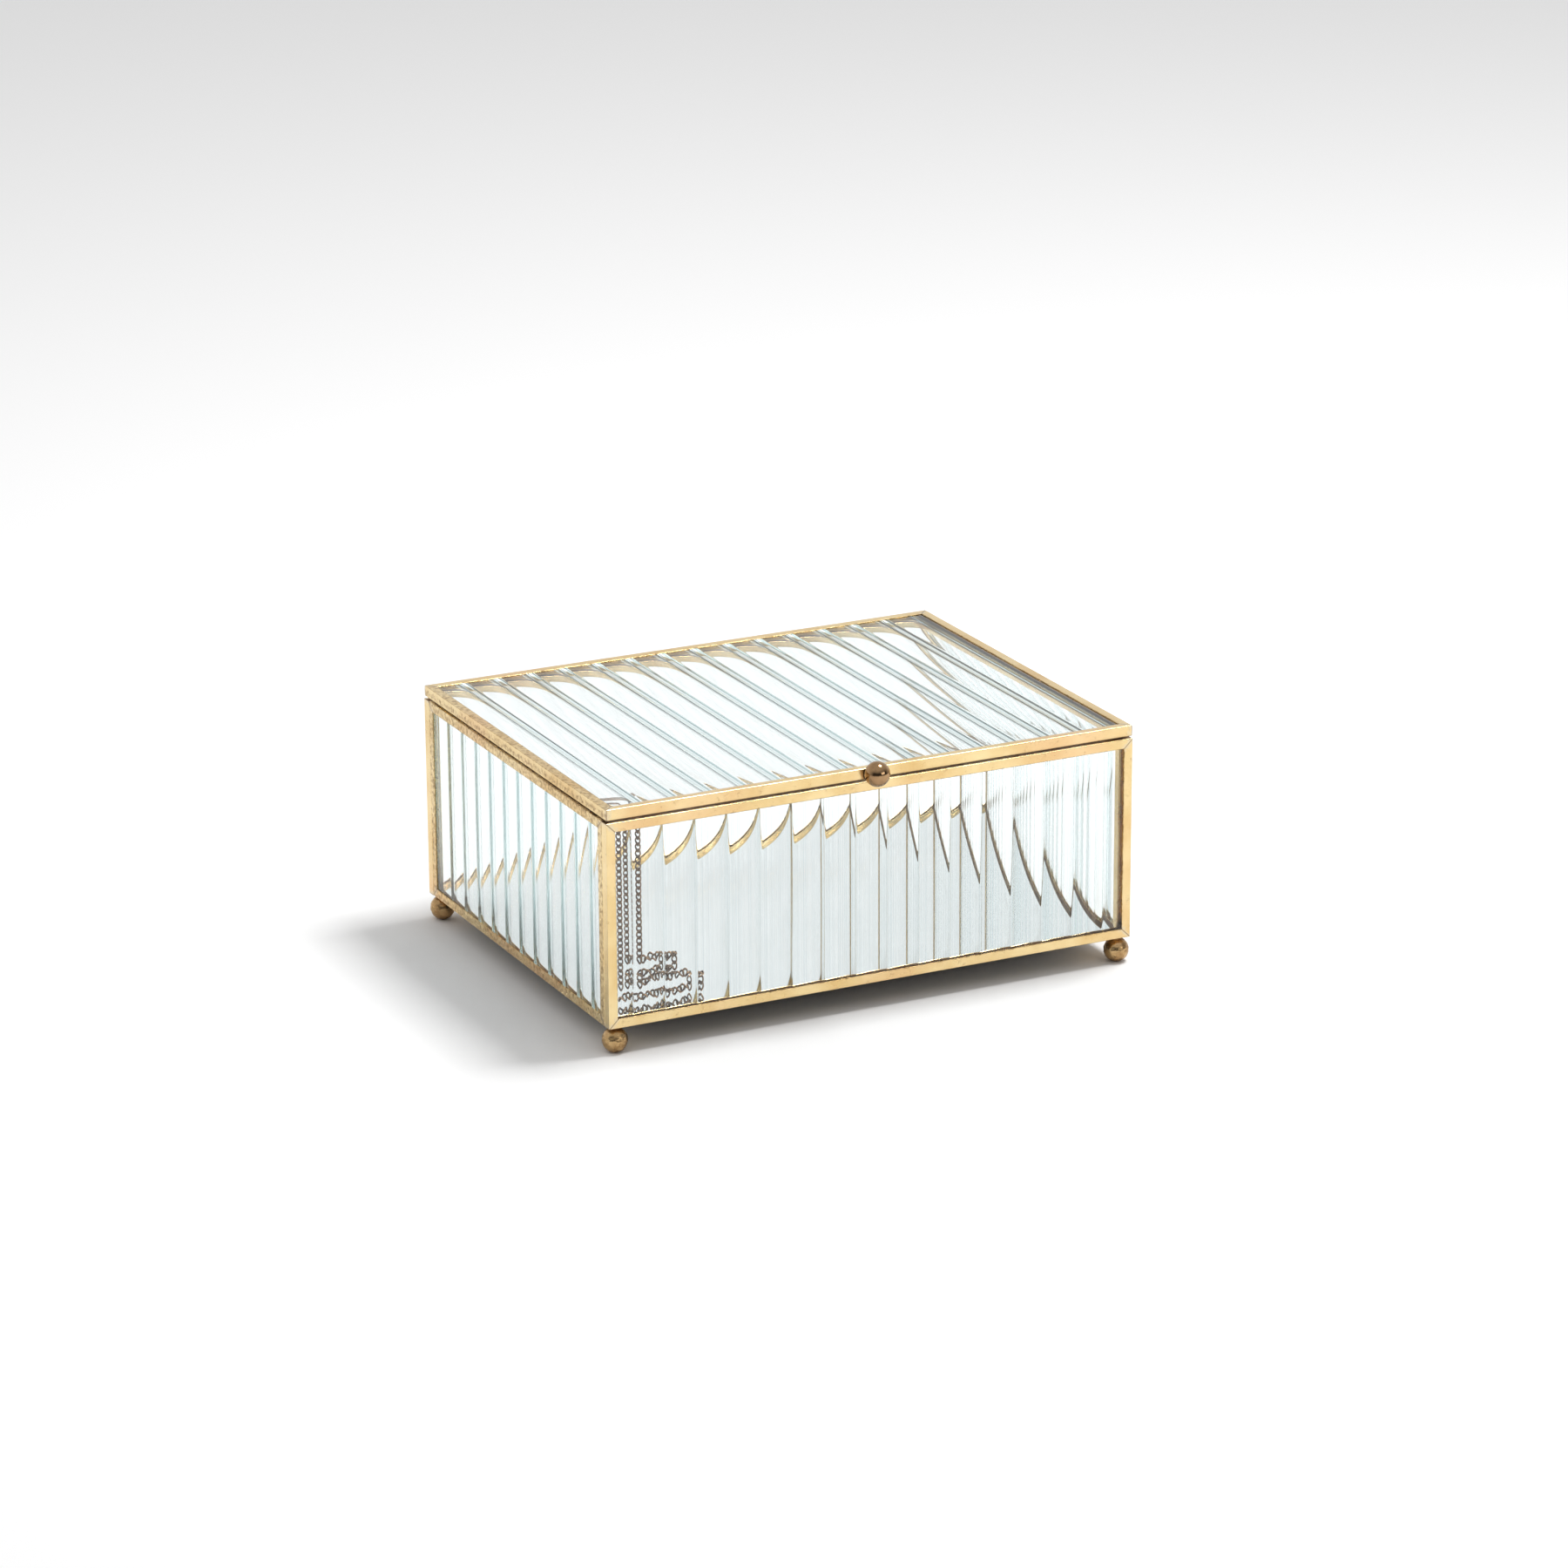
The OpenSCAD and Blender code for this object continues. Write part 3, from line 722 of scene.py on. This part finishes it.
def footPieces():
    # a soldered ball: circle arc from its worn flat up to a solder neck, whose radius grows as a
    # power of its height until it meets the frame
    for i in range(1, 5):
        low, high = nodeBox(f"foot_{i}")
        middle = (low + high) / 2
        radius = (high[0] - low[0]) / 2
        flat, neck, spread = (footForm[k] for k in ("flat", "neck", "spread"))
        rise = math.sqrt(radius ** 2 - flat ** 2)
        start = -math.acos(flat / radius)
        neckTop = high[2] - low[2]
        stop = math.acos(neck / radius)
        arc = np.linspace(start, stop, 30)
        ball = np.stack([radius * np.cos(arc), rise + radius * np.sin(arc)], -1)
        k = np.linspace(0.15, 1, 7)
        base = ball[-1, 1]
        skirt = np.stack([neck + (spread - neck) * k ** 2.2, base + (neckTop - base) * k], -1)
        profile = np.concatenate([[[0, 0], [flat * 0.6, 0]], ball, skirt, [[0, neckTop]]])
        # dark round the neck and round the worn flat
        depth = np.abs(profile[:, 1] - base)
        patinaAndShade = np.clip(0.75 - depth / 2.0, 0.1, 1) + 0.35 * (profile[:, 1] < 1.5)
        points, faces, values = turned(profile, patinaAndShade, [middle[0], middle[1], low[2]], zDir, xDir,
                                       lumps=footForm["lumps"], phase=1.9 * i)
        piece = meshPiece(f"ballFoot{i}", points, faces, 50, {"patinaAndShade": values})
        finishPiece(piece, "box", [f"foot_{i}"], footBrass)


knobForm = {
    "boss": 1.55,           # mm, radius of the solder boss
    "spread": 0.5,          # mm that the boss widens towards the ball
    "cut": 0.28,            # mm, length of the boss
}


def knobPiece():
    # a ball on a soldered boss, turned about the line that points out from the lid's rail
    low, high = nodeBox("lid_knob")
    radius = (high[0] - low[0]) / 2
    centre = np.array([(low[0] + high[0]) / 2, low[1] + radius, (low[2] + high[2]) / 2])
    back = high[1] - centre[1]
    boss = knobForm["boss"]
    cut = back - knobForm["cut"]
    arc = np.linspace(math.pi / 2, -math.asin(cut / radius), 40)[1:]
    ball = np.stack([radius * np.cos(arc), radius * np.sin(arc)], -1)
    k = np.linspace(0, 1, 4)
    skirt = np.stack([boss + knobForm["spread"] * (1 - k) ** 2, -cut - (back - cut) * k], -1)
    profile = np.concatenate([[[0, radius]], ball, skirt, [[0, -back]]])[::-1]
    patinaAndShade = np.clip(0.95 - (profile[:, 1] + back) / 1.2, 0.0, 0.95)
    points, faces, values = turned(profile, patinaAndShade, centre, -yDir, xDir, segments=64, lumps=0.015)
    piece = meshPiece("ballKnob", points, faces, 50, {"patinaAndShade": values})
    finishPiece(piece, "lid", ["lid_knob"], knobBronze)


footPieces()
knobPiece()
print("feet and knob made")

hingeForm = {
    "round": 0.22,          # mm, radius of a tube's rims
    "bore": 0.63,           # mm, radius of the tubes' bore
    "solder": 1.5,          # mm that the solder reaches along the rail's face
    "solderPatina": 0.35,
}


def tubeLength(start, length, radius):
    # a short tube with rounded rims: its wall's outline swept round the hinge line
    bore, soft = hingeForm["bore"], hingeForm["round"]
    turn = np.linspace(0, math.pi / 2, 4)
    rim = np.stack([radius - soft + soft * np.sin(turn), soft - soft * np.cos(turn)], -1)
    far = np.stack([rim[::-1, 0], length - rim[::-1, 1]], -1)
    outline = np.concatenate([[[bore, 0.0]], rim, far, [[bore, length]]])
    patinaAndShade = np.concatenate([[1.0], np.linspace(0.8, 0.3, 4), np.linspace(0.3, 0.8, 4), [1.0]])
    angle = np.linspace(0, 2 * math.pi, 40, endpoint=False)
    rr, aa = np.meshgrid(outline[:, 0], angle, indexing="ij")
    hh = np.broadcast_to(outline[:, 1:2], rr.shape)
    points = np.stack([hh, rr * np.cos(aa), rr * np.sin(aa)], -1).reshape(-1, 3) + start
    faces = gridFaces(len(outline), len(angle), closeRows=True, closeCols=True)
    return points, faces, np.repeat(patinaAndShade, len(angle))


def solderFillet(start, length, radius, wallY, under):
    # Solder between a tube and the rail: a hollow fillet, its section a power curve from the
    # tube's side to the rail's face, carried along the tube and drawn in a little at its ends.
    # under is -1 for solder below the axis and 1 for solder above it.
    k = np.linspace(0, 1, 8)
    reach = hingeForm["solder"]
    gap = wallY - start[1]
    y = gap + 0.75 * radius * (1 - k) ** 1.8
    z = under * (radius * 0.35 + reach * k)
    section = np.concatenate([np.stack([y, z], -1), [[gap, 0.0], [-0.75 * radius, 0.0]]])
    along = np.array([0, 0.2, 0.6, length - 0.6, length - 0.2, length])
    ease = np.array([0.86, 0.96, 1, 1, 0.96, 0.86])
    tuck = np.array([gap, 0.0])
    shape = tuck + (section - tuck)[None] * ease[:, None, None]
    xx = np.broadcast_to(along[:, None], shape.shape[:2])
    points = np.concatenate([xx[..., None], shape], -1).reshape(-1, 3) + start
    faces = loftFaces(*shape.shape[:2], clockwise=under < 0)
    return points, faces, np.full(len(points), hingeForm["solderPatina"])


def hingePieces():
    # for each hinge two tubes on the body, one on the lid between them, and a wire with rounded
    # ends through all three
    for i in (1, 2):
        pinLow, pinHigh = nodeBox(f"hinge_{i}_pin")
        line = (pinLow + pinHigh) / 2
        lidLow, lidHigh = nodeBox(f"hinge_{i}_lid_tube")
        bodyLow, bodyHigh = nodeBox(f"hinge_{i}_body_tubes")
        length = lidHigh[0] - lidLow[0]
        radius = lidHigh[1] - line[1]
        wallY, lidY = nodeBox("back_top_rail")[1][1], nodeBox("lid_back_rail")[1][1]
        parts = []
        for x in (bodyLow[0], bodyHigh[0] - length):
            start = np.array([x, line[1], line[2]])
            parts.append(tubeLength(start, length, radius))
            parts.append(solderFillet(start, length, radius, wallY, -1))
        points, faces, values = joined(parts)
        piece = meshPiece(f"hingeBodyTubes{i}", points, faces, 40, {"patinaAndShade": values})
        finishPiece(piece, "box", [f"hinge_{i}_body_tubes"], hingeBrass)
        start = np.array([lidLow[0], line[1], line[2]])
        points, faces, values = joined([tubeLength(start, length, radius),
                                        solderFillet(start, length, radius, lidY, 1)])
        piece = meshPiece(f"hingeLidTube{i}", points, faces, 40, {"patinaAndShade": values})
        finishPiece(piece, "lid", [f"hinge_{i}_lid_tube"], hingeBrass)
        wire, span = (pinHigh[2] - pinLow[2]) / 2, pinHigh[0] - pinLow[0]
        turn = np.linspace(0, math.pi / 2, 6)
        end = np.stack([wire * np.sin(turn), 0.3 * wire * (1 - np.cos(turn))], -1)
        profile = np.concatenate([end, np.stack([end[::-1, 0], span - end[::-1, 1]], -1)])
        points, faces, values = turned(profile, np.full(len(profile), 0.3),
                                       [pinLow[0], line[1], line[2]], xDir, yDir, segments=24)
        piece = meshPiece(f"hingeWire{i}", points, faces, 40, {"patinaAndShade": values})
        finishPiece(piece, "box", [f"hinge_{i}_pin"], wireBrass)


hingePieces()
print("hinges made")

chainForm = {
    "pitch": 2.0,           # mm from link to link
    "reach": 1.29,          # mm, half a link's length along the chain, at the wire's middle
    "halfWidth": 1.12,
    "wire": 0.36,           # mm, radius of the links' wire
    "twist": 0.79,          # radians that each end of a link is turned, one each way
    "tumble": 0.35,         # mm that links of the heap stray from their run
    "facing": 0.6,          # radians that a hanging strand's links are turned from the front
}


def twistedLinks(centres, ahead, acrossA, acrossB, aroundLink=22, aroundWire=8):
    # Curb links. Round a link, angle p: along = reach cos p, sideways = halfWidth sin p, with the
    # sideways direction turned by twist x cos p about the chain's line, then a wire round that.
    p = np.linspace(0, 2 * math.pi, aroundLink, endpoint=False)[None, :, None]
    turn = chainForm["twist"] * np.cos(p)
    a, b, d = acrossA[:, None], acrossB[:, None], ahead[:, None]
    sideways = a * np.cos(turn) + b * np.sin(turn)
    offset = chainForm["reach"] * np.cos(p) * d + chainForm["halfWidth"] * np.sin(p) * sideways
    tangent = unit(np.roll(offset, -1, 1) - np.roll(offset, 1, 1))
    outward = unit(offset)
    first = unit(outward - (outward * tangent).sum(-1, keepdims=True) * tangent)
    second = np.cross(tangent, first)
    q = np.linspace(0, 2 * math.pi, aroundWire, endpoint=False)[None, None, :, None]
    shell = chainForm["wire"] * (np.cos(q) * first[:, :, None] + np.sin(q) * second[:, :, None])
    points = (centres[:, None, None] + offset[:, :, None] + shell).reshape(-1, 3)
    each = aroundLink * aroundWire
    base = gridFaces(aroundLink, aroundWire, closeRows=True, closeCols=True)
    faces = (base[None] + (np.arange(len(centres)) * each)[:, None, None]).reshape(-1, 4)
    # worn bright outside, tarnished inside
    wear = np.broadcast_to(0.62 - 0.5 * np.cos(q), (len(centres), aroundLink, aroundWire, 1))
    return points, faces, wear.ravel()


def chainPiece(name, node, body, start, ahead, count, bow, phase):
    # count links from start; bow is how far the middle of the run lies off its line, as half a
    # sine; links also turn by faster sines, and those of the heap stray from the run
    k = np.arange(1, count + 1)
    share = k / (count + 1)
    centres = start + chainForm["pitch"] * k[:, None] * ahead
    hanging = abs(ahead[2]) > 0.5
    centres = centres + np.sin(math.pi * share)[:, None] * np.asarray(bow, float)
    tumble = chainForm["tumble"] * np.sin(2.3 * k + phase) * np.sin(math.pi * share)
    centres = centres + (0 if hanging else tumble[:, None] * (0.6 * yDir + zDir))
    ahead = np.broadcast_to(ahead, centres.shape)
    if hanging:
        angle = chainForm["facing"] + 0.25 * np.sin(k * 0.55 + phase)
        sideA = np.cos(angle)[:, None] * xDir - np.sin(angle)[:, None] * yDir
    else:
        angle = 1.2 * np.sin(k * 1.7 + phase)
        sideA = np.cos(angle)[:, None] * zDir + np.sin(angle)[:, None] * yDir
    points, faces, wear = twistedLinks(centres, ahead, sideA, np.cross(ahead, sideA))
    piece = meshPiece(name, points, faces, 80, {"patinaAndShade": wear})
    finishPiece(piece, body, [node], chainBrass)


def hangingStrand(node):
    # where a hanging strand's links start, one pitch above the first, and how many it has
    reach, pitch = chainForm["reach"] + chainForm["wire"], chainForm["pitch"]
    low, high = nodeBox(node)
    middle = (low + high) / 2
    count = round((high[2] - low[2] - 2 * reach) / pitch) + 1
    return np.array([middle[0], middle[1], high[2] - reach + pitch]), count


def chainPieces():
    # the strand that hangs from the body's eyelet, then the lid's strand and the heap, run by run
    start, count = hangingStrand("chain_rise")
    chainPiece("chainRise", "chain_rise", "stay_rise", start, -zDir, count, (0, 0, 0), 0.0)
    at, count = hangingStrand("chain_drop")
    # leg, direction, links, bow of its middle in mm; the leg's body has the same name
    legs = [
        ("drop", -zDir, count, (0, 0, 0)),
        ("fold_1", xDir, 6, (0, 0.8, -0.6)), ("turn_1", -zDir, 2, (0, 0, 0)),
        ("fold_2", -xDir, 6, (0, -0.9, -0.5)), ("turn_2", -zDir, 2, (0, 0, 0)),
        ("fold_3", xDir, 10, (0, 1.1, 0.7)), ("turn_3", -zDir, 2, (0, 0, 0)),
        ("fold_4", -xDir, 12, (0, -1.0, 0.3)),
    ]
    for i, (leg, ahead, links, bow) in enumerate(legs):
        name = "chain" + leg.replace("_", "").capitalize()
        chainPiece(name, "chain_" + leg, "stay_" + leg, at, ahead, links, bow, 1.3 * i)
        at = at + links * chainForm["pitch"] * ahead


def ring(centre, sideA, sideB, radius, wire, around=36, section=12):
    # a plain ring: a wire's circle swept round a larger one
    p, q = np.meshgrid(np.linspace(0, 2 * math.pi, around, endpoint=False),
                       np.linspace(0, 2 * math.pi, section, endpoint=False), indexing="ij")
    radial = radius + wire * np.cos(q)
    local = np.stack([radial * np.cos(p), radial * np.sin(p), wire * np.sin(q)], -1).reshape(-1, 3)
    points = placed(local, centre, sideA, sideB, np.cross(sideA, sideB))
    faces = gridFaces(around, section, closeRows=True, closeCols=True)[:, ::-1]
    return points, faces, (0.55 - 0.4 * np.cos(q)).ravel()


def bentWire(path, radii, sideways, section=16):
    # a round wire of changing radius along a path in one plane, closed by flat ends
    tangent = unit(np.gradient(path, axis=0))
    normal = np.cross(tangent, sideways)
    q = np.linspace(0, 2 * math.pi, section, endpoint=False)
    shell = np.cos(q)[None, :, None] * normal[:, None] + np.sin(q)[None, :, None] * sideways
    points = (path[:, None] + np.asarray(radii)[:, None, None] * shell).reshape(-1, 3)
    faces = loftFaces(len(path), section, clockwise=True)
    return points, faces, np.full(len(points), 0.45)


eyeletForm = {
    "peg": 0.4,             # mm, radius of the peg
    "bend": 0.9,            # mm, radius of its bend
    "flare": 0.9,           # mm that the solder spreads where the peg meets its rail
    "fade": 0.35,           # mm along the peg over which that falls to about a third
    "sink": 0.1,            # mm that a peg's end goes past the middle of the ring's wire
    "ring": 1.35,           # mm, radius of the ring at its wire's middle
    "wire": 0.3,
    "strap": 0.5,           # mm, thickness of the lid's strap
    "strapHalf": 1.0,       # mm, half its width
    "strapBevel": 0.12,
    "strapFlare": 0.5,
    "strapFade": 0.3,
}


def eyeletPieces():
    # the body's: a peg flared where it leaves its rail, bent down in a quarter circle to a ring;
    # the lid's: a strap with a short peg and a ring below it
    peg, bend, flare = eyeletForm["peg"], eyeletForm["bend"], eyeletForm["flare"]
    radius, wire, sink = eyeletForm["ring"], eyeletForm["wire"], eyeletForm["sink"]
    low, high = nodeBox("body_eyelet")
    rise = (nodeBox("chain_rise")[0] + nodeBox("chain_rise")[1]) / 2
    y, z = rise[1], high[2] - peg
    ringZ = low[2] + radius + wire
    straight = np.linspace(0, 1, 8) ** 1.6
    x0, x1 = low[0], rise[0] - bend
    turn = np.linspace(0, math.pi / 2, 8)[1:]
    path = np.concatenate([
        np.stack([x0 + (x1 - x0) * straight, np.full(8, y), np.full(8, z)], -1),
        np.stack([x1 + bend * np.sin(turn), np.full(7, y), z - bend + bend * np.cos(turn)], -1),
        [[rise[0], y, ringZ + radius - sink]]])
    radii = peg + flare * np.exp(-(path[:, 0] - x0) / eyeletForm["fade"])
    points, faces, values = joined([bentWire(path, radii, yDir),
                                    ring(np.array([rise[0], y, ringZ]), yDir, zDir, radius, wire)])
    piece = meshPiece("bodyEyelet", points, faces, 50, {"patinaAndShade": values})
    finishPiece(piece, "box", ["body_eyelet"], chainBrass)

    low, high = nodeBox("lid_eyelet")
    drop = (nodeBox("chain_drop")[0] + nodeBox("chain_drop")[1]) / 2
    ringZ = low[2] + radius + wire
    strapUnder = high[2] - eyeletForm["strap"]
    half = eyeletForm["strapHalf"]
    outline = rectangle((low[0], drop[1] - half), (high[0], drop[1] + half))
    plate, plateFaces = slab(outline, strapUnder, high[2], eyeletForm["strapBevel"])
    zz = np.linspace(strapUnder, ringZ + radius - sink, 12)
    path = np.stack([np.full(12, drop[0]), np.full(12, drop[1]), zz], -1)
    solder = eyeletForm["strapFlare"] * np.exp(-(strapUnder - zz) / eyeletForm["strapFade"])
    radii = peg * 0.9 + solder
    points, faces, values = joined([(plate, plateFaces, np.full(len(plate), 0.4)),
                                    bentWire(path, radii, yDir),
                                    ring(np.array([drop[0], drop[1], ringZ]), yDir, zDir, radius,
                                         wire)])
    piece = meshPiece("lidEyelet", points, faces, 40, {"patinaAndShade": values})
    finishPiece(piece, "lid", ["lid_eyelet"], chainBrass)


chainPieces()
eyeletPieces()
print("stay chain made")

studio = {
    "floorSize": 6000,      # mm, from the middle to each side
    "floorColour": (0.95, 0.95, 0.95),
    "backdrop": 0.90,       # brightness of the surround low down at the back
    "overhead": 0.66,
    "front": 0.06,
    "frontToBack": (-0.5, 0.4),     # y of the direction over which front turns to backdrop
    "sideToTop": (0.3, 0.75),       # z of it over which that turns to overhead
}
# metres and watts; the card is a dim light in front to the right, like a reflecting card
softboxes = {
    "key": dict(place=(0.52, -0.05, 1.4), aim=(0, 0, 0.05), size=(0.42, 0.42), power=14.5),
    "card": dict(place=(0.50, -1.0, 0.38), aim=(0, 0, 0.02), size=(0.6, 0.34), power=1.2),
}


def addFloor():
    size = studio["floorSize"]
    points = [(-size, -size, 0), (size, -size, 0), (size, size, 0), (-size, size, 0)]
    floor = meshPiece("floor", points, [(0, 1, 2, 3)])
    material, _, shader = newMaterial("paleFloor")
    shader.inputs["Base Color"].default_value = (*studio["floorColour"], 1)
    shader.inputs["Roughness"].default_value = 0.9
    shader.inputs["Specular IOR Level"].default_value = 0.1
    floor.data.materials.append(material)


def addSoftbox(name, place, aim, size, power):
    data = bpy.data.lights.new(name, "AREA")
    data.shape = "RECTANGLE"
    data.size, data.size_y = size
    data.energy = power
    lamp = bpy.data.objects.new(name, data)
    lamp.location = place
    lamp.rotation_euler = (Vector(aim) - Vector(place)).to_track_quat("-Z", "Y").to_euler()
    bpy.context.scene.collection.objects.link(lamp)


def addLight():
    # a white backdrop, softer overhead and dim in front
    world = bpy.data.worlds.new("studio")
    world.use_nodes = True
    tree = world.node_tree
    direction = tree.nodes.new("ShaderNodeTexCoord").outputs["Generated"]
    split = tree.nodes.new("ShaderNodeSeparateXYZ")
    tree.links.new(direction, split.inputs[0])
    around = rampNode(tree, split.outputs["Y"], *studio["frontToBack"], studio["front"],
                      studio["backdrop"])
    height = rampNode(tree, split.outputs["Z"], *studio["sideToTop"])
    rest = mathNode(tree, "SUBTRACT", studio["overhead"], around)
    light = mathNode(tree, "ADD", around, mathNode(tree, "MULTIPLY", rest, height))
    tree.nodes["Background"].inputs["Color"].default_value = (1, 1, 1, 1)
    tree.links.new(light, tree.nodes["Background"].inputs["Strength"])
    bpy.context.scene.world = world
    for name, form in softboxes.items():
        addSoftbox(name, **form)
    scene = bpy.context.scene
    scene.view_settings.view_transform = "Standard"
    scene.view_settings.look = "None"
    scene.cycles.max_bounces = 32
    scene.cycles.transmission_bounces = 24
    scene.cycles.glossy_bounces = 12


addFloor()
addLight()
print("studio made")
